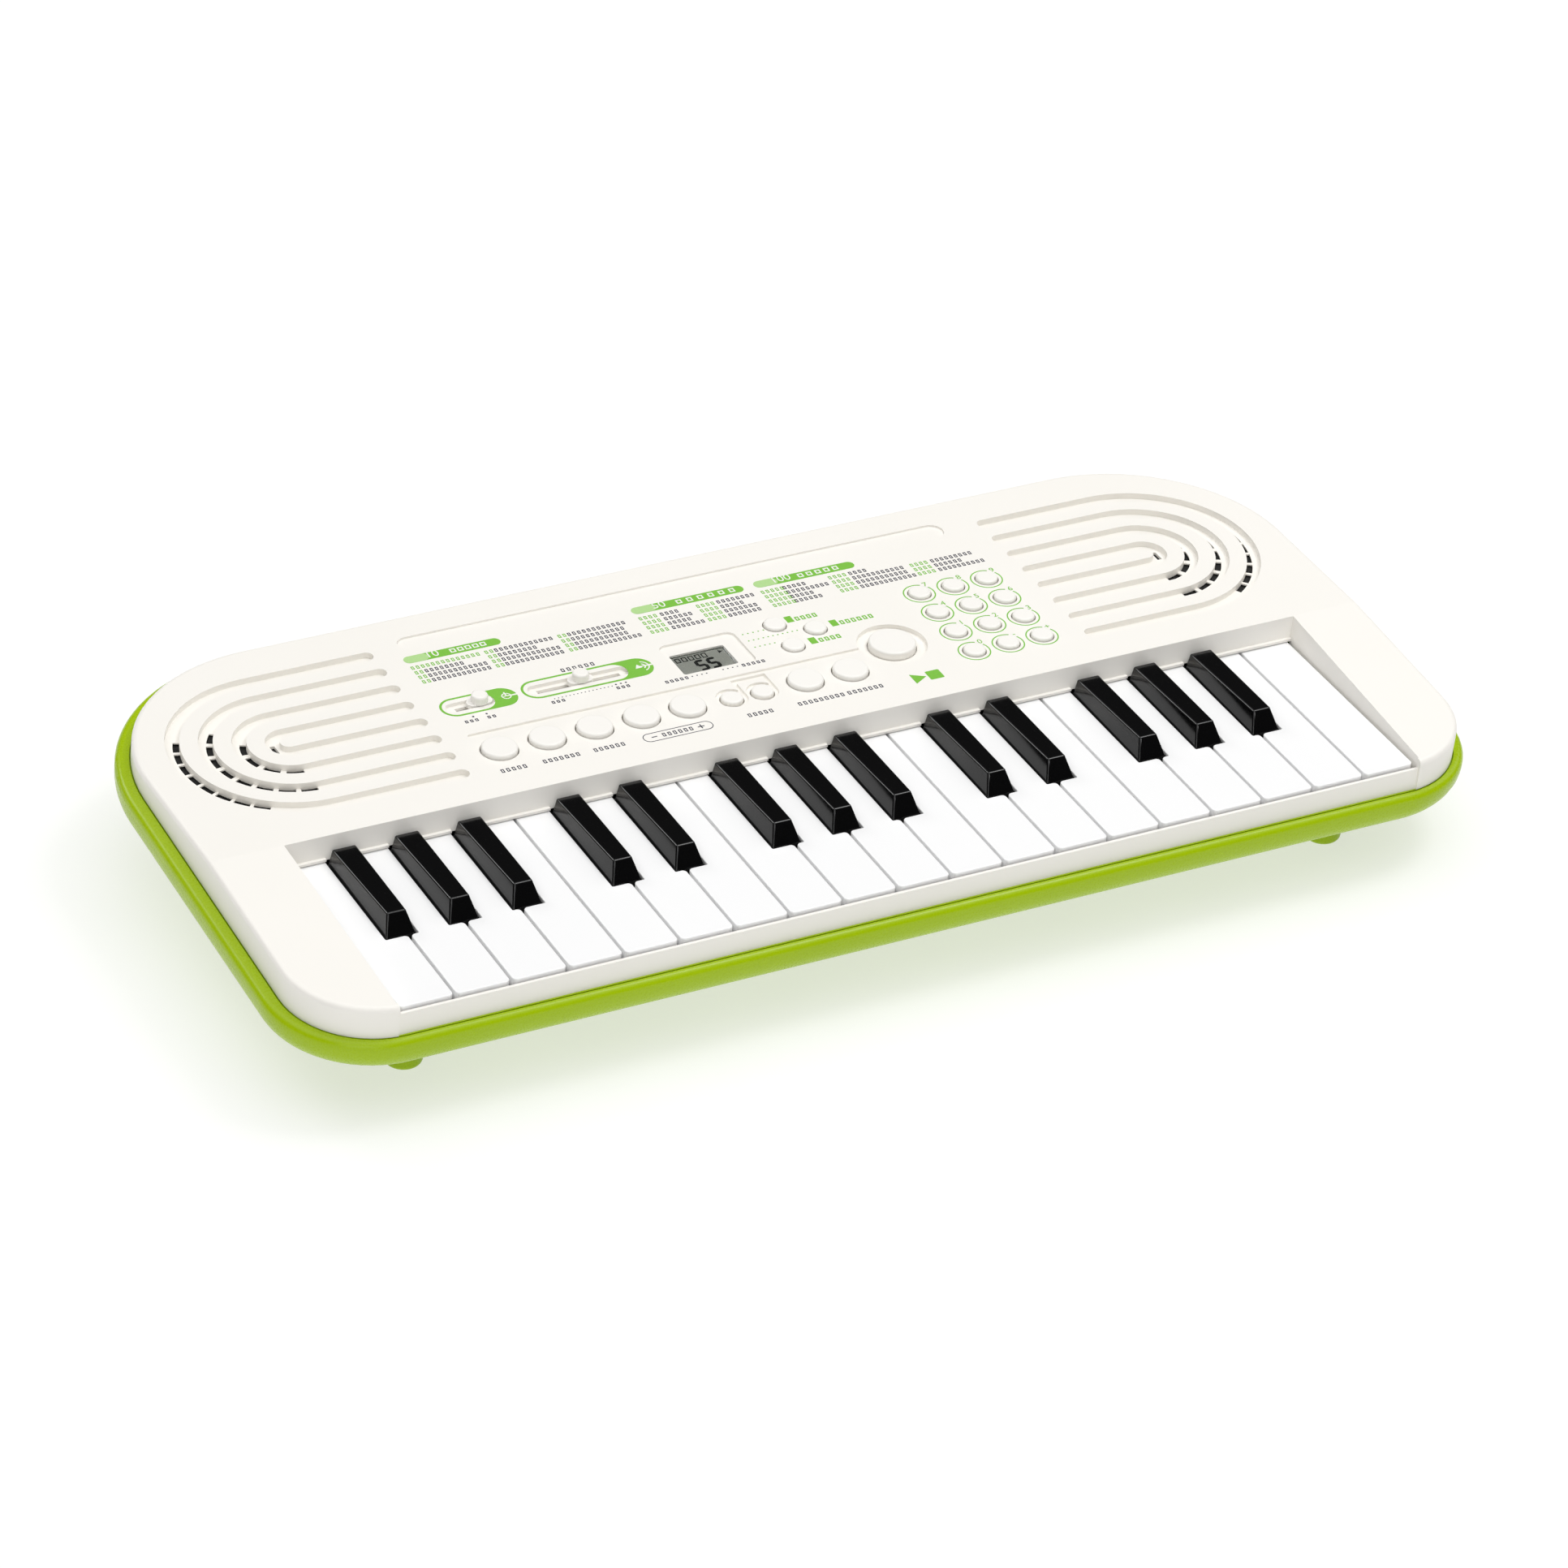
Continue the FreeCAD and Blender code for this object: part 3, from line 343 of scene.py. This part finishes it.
def join(things):
    """Make one object of several."""
    choose(things[0])
    for thing in things:
        thing.select_set(True)
    if len(things) > 1:
        bpy.ops.object.join()
    return bpy.context.view_layer.objects.active


def flat_text(text, x, y, size, z=first_coat):
    """Numbers and signs, as a flat mesh centred on x, y."""
    deselect()
    bpy.ops.object.text_add(location=(0, 0, 0))
    thing = bpy.context.object
    thing.data.body = text
    thing.data.size = size
    thing.data.align_x = "CENTER"
    thing.data.align_y = "CENTER"
    thing.data.resolution_u = 4
    bpy.ops.object.convert(target="MESH")
    thing = bpy.context.object
    thing.data.transform(Matrix.Translation((x, y, z)))
    return thing


def finish_film(things, name, ink, thickness=film + ink_sink):
    """Join the flat shapes and give them the thickness of a film of ink."""
    thing = join(things)
    thing.name = name
    thing.data.name = name
    choose(thing)
    bpy.ops.object.mode_set(mode="EDIT")
    bpy.ops.mesh.select_all(action="SELECT")
    bpy.ops.mesh.remove_doubles(threshold=0.001 * mm)
    bpy.ops.object.mode_set(mode="OBJECT")
    solid = thing.modifiers.new("film", "SOLIDIFY")
    solid.thickness = thickness
    solid.offset = 1.0
    bpy.ops.object.modifier_apply(modifier=solid.name)
    thing.data.materials.clear()
    thing.data.materials.append(ink)
    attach(thing, case_body)
    return thing


# ---------------------------------------------------------------- printed graphics
# Places on the panel are in mm: x from the middle of the keyboard, and distances behind the white keys'
# front ends. A word is a row of plain open boxes.
letter_width = 1.05 * mm
letter_step = 1.85 * mm
letter_line = 0.34 * mm
heavy_line = 0.5 * mm


def letters(x0, length, y, height, width=letter_width, step=letter_step, line=letter_line, z=first_coat):
    """A run of plain open boxes in place of a word."""
    count = max(1, round((length + step - width) / step))
    first = hollow_out(rectangle(x0, x0 + width, y - height / 2, y + height / 2, z), line)
    return row_of(first, count, step)


# Three columns stand below the first bar, two below the second and three below the third. Each row of a
# column is a number and a word.
list_rows = [165.2, 162.1, 159.1, 156.1]
list_height = 1.95 * mm
list_title = (-107.6, 25.6)
# number's left and right ends, word's left end, and the length of the word on each row
list_columns = [
    (-107.6, -104.8, -103.9, [0, 13.7, 22.0, 22.3]),
    (-80.4, -77.6, -76.8, [21.6, 14.4, 21.6, 21.8]),
    (-53.1, -50.4, -49.5, [21.4, 19.0, 19.0, 22.8]),
    (-22.5, -15.1, -14.4, [7.2, 10.8, 9.3, 12.9]),
    (-0.6, 6.4, 7.2, [13.4, 8.6, 11.4, 12.4]),
    (24.3, 31.9, 32.7, [8.5, 16.5, 9.1, 9.7]),
    (50.4, 57.2, 58.3, [7.0, 19.1, 18.8, 22.0]),
    (80.8, 87.6, 88.9, [0, 15.0, 9.6, 17.0]),
]


def print_lists():
    """The lists along the panel's back edge. A length of 0 leaves its row free."""
    title_x, title_length = list_title
    numbers = [letters(title_x * mm, title_length * mm, panel_y(list_rows[0]), list_height)]
    words = []
    for number_start, number_end, text_start, lengths in list_columns:
        for behind, length in zip(list_rows, lengths):
            if length == 0:
                continue
            y = panel_y(behind)
            numbers.append(letters(number_start * mm, (number_end - number_start) * mm, y, list_height))
            words.append(letters(text_start * mm, length * mm, y, list_height))
    finish_film(numbers, "list_numbers_print", ink_green)
    finish_film(words, "list_words_print", ink_navy)


# The bar over each list: its left and right ends, and the count printed on it.
headers = [(-108.0, -72.4, "10"), (-22.9, 19.8, "50"), (24.0, 62.9, "100")]
header_behind = 170.3
header_half = 2.1 * mm      # half of the bar's height
header_tip = 9.0            # length of the pale left end
header_count_x = 10.5       # middle of the count, from the bar's left end
header_word_x = 17.0        # the word's left end, from the bar's left end
header_word_margin = 20.0   # what of the bar's length the word's six letters leave free


def print_headers():
    """A green bar with a pale left end, and on it a count and a word of six letters."""
    bars = []
    tips = []
    marks = []
    y = panel_y(header_behind)
    for x0, x1, number in headers:
        bars.append(pill((x0 + 1) * mm, x1 * mm, y, header_half))
        tips.append(pill(x0 * mm, (x0 + header_tip) * mm, y, header_half, second_coat))
        marks.append(flat_text(number, (x0 + header_count_x) * mm, y + 0.5 * mm, 5.2 * mm, third_coat))
        step = (x1 - x0 - header_word_margin) * mm / 5.6
        marks.append(letters((x0 + header_word_x) * mm, 5 * step + 0.1 * mm, y, 2.3 * mm, 2.1 * mm, step,
                             heavy_line, third_coat))
    finish_film(bars, "header_bars_print", ink_green)
    finish_film(tips, "header_tips_print", ink_pale)
    finish_film(marks, "header_marks_print", ink_white)


slider_y = panel_y(138.0)
slider_half = 5.5 * mm
ring_line = 0.85 * mm
# left end, right end, and width of the solid green field at the right end
power_ring = (-109.3, -81.4, 7.6)
volume_ring = (-79.4, -31.0, 8.6)
power_icon_x = -85.2 * mm
speaker_icon_x = -34.6 * mm


def power_icon(x, y, z):
    """A ring with an upright bar through its top."""
    ring = hollow_out(disc(x, y, 1.75 * mm, 32, z), 0.4 * mm)
    bar = rectangle(x - 0.25 * mm, x + 0.25 * mm, y - 0.1 * mm, y + 2.4 * mm, z + 0.01 * mm)
    return [ring, bar]


def speaker_icon(x, y, z):
    """A horn with two sound waves to its right."""
    horn = disc(x - 1.6 * mm, y, 1.5 * mm, 3, z)
    waves = []
    for radius in (1.7 * mm, 3.0 * mm):
        wave = hollow_out(disc(x - 0.6 * mm, y, radius, 32, z), 0.45 * mm)
        waves.append(keep_right(wave, x + 0.1 * mm))
    return [horn] + waves


def print_slider_rings():
    """The outline around each slider, with a green field and an icon at its right end."""
    rings = []
    for x0, x1, field in (power_ring, volume_ring):
        rings.append(hollow_out(pill(x0 * mm, x1 * mm, slider_y, slider_half), ring_line, field * mm))
    finish_film(rings, "slider_rings_print", ink_green)
    icons = power_icon(power_icon_x, slider_y, third_coat)
    icons += speaker_icon(speaker_icon_x, slider_y, third_coat)
    finish_film(icons, "slider_icons_print", ink_white)


# Words by the sliders and in front of the display: left end, length, distance behind the keys, height.
small_words = [
    (-104.7, 4.3, 128.5, 1.5),
    (-96.5, 3.0, 128.5, 1.5),
    (-72.8, 4.2, 128.7, 1.5),
    (-48.7, 4.6, 128.8, 1.5),
    (-31.9, 8.7, 126.0, 1.6),
    (-3.0, 8.2, 126.0, 1.6),
]
volume_word = (-61.4, 12.2, 145.5, 2.0)
volume_letters = (1.2 * mm, 2.2 * mm)   # width and step
# Rows of dots: first and last dot, distance behind the keys, count, radius.
scale_dots = [
    (-70.9, -49.6, 130.6, 16, 0.22),
    (-48.0, -44.3, 131.0, 3, 0.35),
    (-21.8, -16.4, 126.1, 4, 0.28),
    (-10.2, -4.8, 126.1, 4, 0.28),
]
power_dots_x = (-100.8, -95.9)
power_dots_behind = 130.7
# Words in front of the round buttons: left end and length.
button_words = [(-106.2, 9.2), (-90.9, 13.2), (-72.4, 10.4), (-47.2, 10.8), (-15.3, 9.8), (3.6, 16.2),
                (22.3, 13.0)]
button_words_behind = 97.4
button_letters = (1.15 * mm, 2.0 * mm)  # width and step
# The minus and plus signs at the ends of the octave word: left, right, front, back.
octave_signs = [
    (-51.2, -49.2, 97.2, 97.6),
    (-34.1, -31.7, 97.2, 97.6),
    (-33.1, -32.7, 96.2, 98.6),
]
octave_outline = (-54.3, -28.6)
octave_half = 2.5 * mm
octave_line = 0.28 * mm


def dots(x0, x1, behind, count, radius):
    """A row of dots; all sizes in mm."""
    first = disc(x0 * mm, panel_y(behind), radius * mm, 12)
    return row_of(first, count, (x1 - x0) * mm / (count - 1))


def print_small_marks():
    """The navy words, dots and signs by the controls."""
    marks = [letters(x0 * mm, length * mm, panel_y(behind), height * mm)
             for x0, length, behind, height in small_words]
    x0, length, behind, height = volume_word
    marks.append(letters(x0 * mm, length * mm, panel_y(behind), height * mm, *volume_letters))
    marks += [dots(*row) for row in scale_dots]
    marks += [disc(x * mm, panel_y(power_dots_behind), 0.4 * mm, 12) for x in power_dots_x]
    for x0, length in button_words:
        marks.append(letters(x0 * mm, length * mm, panel_y(button_words_behind), 2.0 * mm, *button_letters))
    for x0, x1, front, back in octave_signs:
        marks.append(rectangle(x0 * mm, x1 * mm, panel_y(front), panel_y(back)))
    left, right = octave_outline
    outline = pill(left * mm, right * mm, panel_y(button_words_behind), octave_half)
    marks.append(hollow_out(outline, octave_line))
    finish_film(marks, "small_marks_print", ink_navy)


# Rows of dots that lead from the mode buttons: first and last dot, distance behind the keys, count, radius.
mode_dots = [
    (6.0, 13.9, 143.4, 5, 0.3),
    (6.1, 24.6, 139.0, 11, 0.3),
    (6.3, 13.8, 134.7, 5, 0.3),
]
# Each mode button's name: left end, length with its bar, distance behind the keys.
mode_names = [(23.9, 10.4, 146.3), (37.2, 16.4, 138.6), (25.3, 11.6, 131.2)]
mode_bar_width = 2.6
mode_bar_half = 1.9
mode_word_x = 3.4           # the word's left end, from the bar's left end


def print_mode_marks():
    """The green dots, bars and names of the sound, rhythm and song buttons."""
    marks = [dots(*row) for row in mode_dots]
    for x0, length, behind in mode_names:
        front = panel_y(behind - mode_bar_half)
        back = panel_y(behind + mode_bar_half)
        marks.append(rectangle(x0 * mm, (x0 + mode_bar_width) * mm, front, back))
        marks.append(letters((x0 + mode_word_x) * mm, (length - mode_word_x) * mm, panel_y(behind - 0.6),
                             2.4 * mm, 1.5 * mm, 2.2 * mm, heavy_line))
    finish_film(marks, "mode_marks_print", ink_green)


start_icon = (48.6, 97.0, 3.4)           # middle in x, distance behind the keys, radius
stop_icon = (52.6, 57.8, 94.4, 99.6)     # left, right, front, back


def print_start_stop_icons():
    """A triangle for start and a square for stop, below the large button."""
    x, behind, radius = start_icon
    start = right_triangle(x * mm, panel_y(behind), radius * mm)
    left, right, front, back = stop_icon
    stop = round_corners(rectangle(left * mm, right * mm, panel_y(front), panel_y(back)), 0.5 * mm, 4)
    finish_film([start, stop], "start_stop_print", ink_green)


keypad_signs = [["0", "1", "4", "7"], ["-", "2", "5", "8"], ["+", "3", "6", "9"]]
keypad_columns = [75.0, 88.2, 101.4]
keypad_first_row = 105.1
keypad_step = 13.17
keypad_ring = 5.75 * mm
keypad_line = 0.45 * mm
sign_offset = 4.6 * mm      # a sign stands this far right of its cap and behind it
sign_clearance = 1.7 * mm   # the ring stays open this far around its sign


def print_keypad():
    """A ring around each cap of the number pad, open at the back right for its sign."""
    rings = []
    places = []
    for column_x, column_signs in zip(keypad_columns, keypad_signs):
        for row, sign in enumerate(column_signs):
            x = column_x * mm
            y = panel_y(keypad_first_row + keypad_step * row)
            ring = hollow_out(disc(x, y, keypad_ring), keypad_line)
            rings.append(remove_near(ring, x + sign_offset, y + sign_offset, sign_clearance))
            places.append((sign, x + sign_offset, y + sign_offset))
    finish_film(rings, "keypad_rings_print", ink_green)
    signs = [flat_text(sign, x, y, 3.6 * mm) for sign, x, y in places]
    finish_film(signs, "keypad_numerals_print", ink_green)


# ---------------------------------------------------------------- display
# The lit bars of a figure 5: place across and up in halves of the figure, and whether the bar lies level.
figure_five = [
    (0.0, 1.0, True),
    (-1.0, 0.5, False),
    (0.0, 0.0, True),
    (1.0, -0.5, False),
    (0.0, -1.0, True),
]
figure_places = (-14.2, -9.8)
figure_behind = 133.6
figure_half_width = 1.35 * mm
figure_half_height = 2.8 * mm
figure_stroke = 0.62 * mm       # half of a bar's width
display_print_z = display_z - ink_sink


def display_figure(x, y):
    """A figure 5 made of seven-segment bars."""
    bars = []
    for across, up, level in figure_five:
        centre_x = x + across * figure_half_width
        centre_y = y + up * figure_half_height
        half_x = figure_half_width if level else figure_stroke
        half_y = figure_stroke if level else figure_half_height / 2
        bar = rectangle(centre_x - half_x, centre_x + half_x, centre_y - half_y, centre_y + half_y,
                        display_print_z)
        bars.append(round_corners(bar, figure_stroke * 0.6, 1))
    return bars


def print_display():
    """Two figures, a play sign and a word on the display."""
    shapes = []
    for x in figure_places:
        shapes += display_figure(x * mm, panel_y(figure_behind))
    shapes.append(right_triangle(-4.8 * mm, panel_y(139.2), 1.1 * mm, display_print_z))
    shapes.append(letters(-21.8 * mm, 11.5 * mm, panel_y(138.9), 2.7 * mm, 1.9 * mm, 2.5 * mm, 0.4 * mm,
                          display_print_z))
    finish_film(shapes, "display_segments", segment_black)


# ---------------------------------------------------------------- black sheets of painted shade behind the grilles
# Black sheets of painted shade: each darkens what shows through a grille's slots, in place of the shade
# inside the case.
shade_sheet_places = [("grille_shade_sheet_left", -163.5), ("grille_shade_sheet_right", 161.7)]
shade_sheet_behind = 139.3
shade_sheet_radius = 42.0 * mm
shade_sheet_thickness = 0.05 * mm
shade_sheet_z = speaker_z + 0.08 * mm


def grille_shade_sheet():
    """A black sheet under each grille: painted shade, standing in for the dark inside of the case seen
    through the slots.
    """
    for name, x in shade_sheet_places:
        shade_sheet = disc(x * mm, panel_y(shade_sheet_behind), shade_sheet_radius, 96, shade_sheet_z)
        finish_film([shade_sheet], name, speaker_black, shade_sheet_thickness)


# ---------------------------------------------------------------- floor, lights and camera
# name, place, side length and power in watts; each one faces the origin
soft_lights = [
    ("top_softbox", (0.75, -0.2, 1.63), 0.5, 6),
    ("back_left_softbox", (-0.8, 1.45, 1.1), 0.6, 5),
    ("right_softbox", (1.6, 0.35, 1.1), 0.9, 3),
    ("front_fill", (-0.9, -1.7, 0.75), 1.2, 8),
]
floor_size = 12.0
# The dome is dim at the sides and bright overhead; heights are the Z of a direction.
dome_start = 0.6
dome_full = 0.85
dome_dim = 0.04
dome_bright = 1.55


def area_light(name, place, size, energy):
    """A square soft light that faces the origin."""
    light = bpy.data.lights.new(name, "AREA")
    light.shape = "SQUARE"
    light.size = size
    light.energy = energy
    thing = bpy.data.objects.new(name, light)
    thing.location = place
    thing.rotation_euler = (-Vector(place)).to_track_quat("-Z", "Y").to_euler()
    bpy.context.collection.objects.link(thing)


def studio_floor():
    """A wide floor at the height of the feet."""
    deselect()
    bpy.ops.mesh.primitive_plane_add(size=floor_size, location=(0, 0, 0))
    floor = bpy.context.object
    floor.name = "studio_floor"
    floor.data.materials.append(light_table())


def studio_dome():
    """White light that grows from the sides to overhead."""
    world = bpy.data.worlds.new("studio_world")
    world.use_nodes = True
    tree = world.node_tree
    direction = add(tree, "ShaderNodeTexCoord").outputs["Generated"]
    height = add(tree, "ShaderNodeSeparateXYZ", {"Vector": direction})
    dome = add(tree, "ShaderNodeMapRange", {
        "Value": height.outputs["Z"], "From Min": dome_start, "From Max": dome_full,
        "To Min": dome_dim, "To Max": dome_bright})
    sky = tree.nodes["Background"]
    sky.inputs["Color"].default_value = (1.0, 1.0, 1.0, 1.0)
    tree.links.new(dome.outputs["Result"], sky.inputs["Strength"])
    bpy.context.scene.world = world


# The camera looks at a point on the panel from the front left, turned a little about its own axis.
camera_target = (-0.01484, -0.02781, 0.040)
camera_distance = 2.1214
camera_turn = -29.70
camera_down = 33.31
camera_roll = 4.38
camera_lens = 147.17
camera_sensor = 36.0


def place_camera():
    """Set the camera at its distance from the target, in its direction."""
    camera = bpy.data.cameras.new("camera")
    camera.lens = camera_lens
    camera.sensor_width = camera_sensor
    camera.clip_start = 0.05
    thing = bpy.data.objects.new("camera", camera)
    turn = Matrix.Rotation(math.radians(camera_turn), 4, "Z")
    tilt = Matrix.Rotation(math.radians(90 - camera_down), 4, "X")
    roll = Matrix.Rotation(math.radians(camera_roll), 4, "Z")
    back = turn @ tilt @ roll @ Vector((0, 0, camera_distance))
    thing.matrix_world = Matrix.Translation(Vector(camera_target) + back) @ turn @ tilt @ roll
    bpy.context.collection.objects.link(thing)
    bpy.context.scene.camera = thing


finish_cad_nodes()
print_lists()
print_headers()
print_slider_rings()
print_small_marks()
print_mode_marks()
print_start_stop_icons()
print_keypad()
print_display()
grille_shade_sheet()
studio_floor()
studio_dome()
for soft_light in soft_lights:
    area_light(*soft_light)
place_camera()
bpy.context.scene.view_settings.view_transform = "Standard"
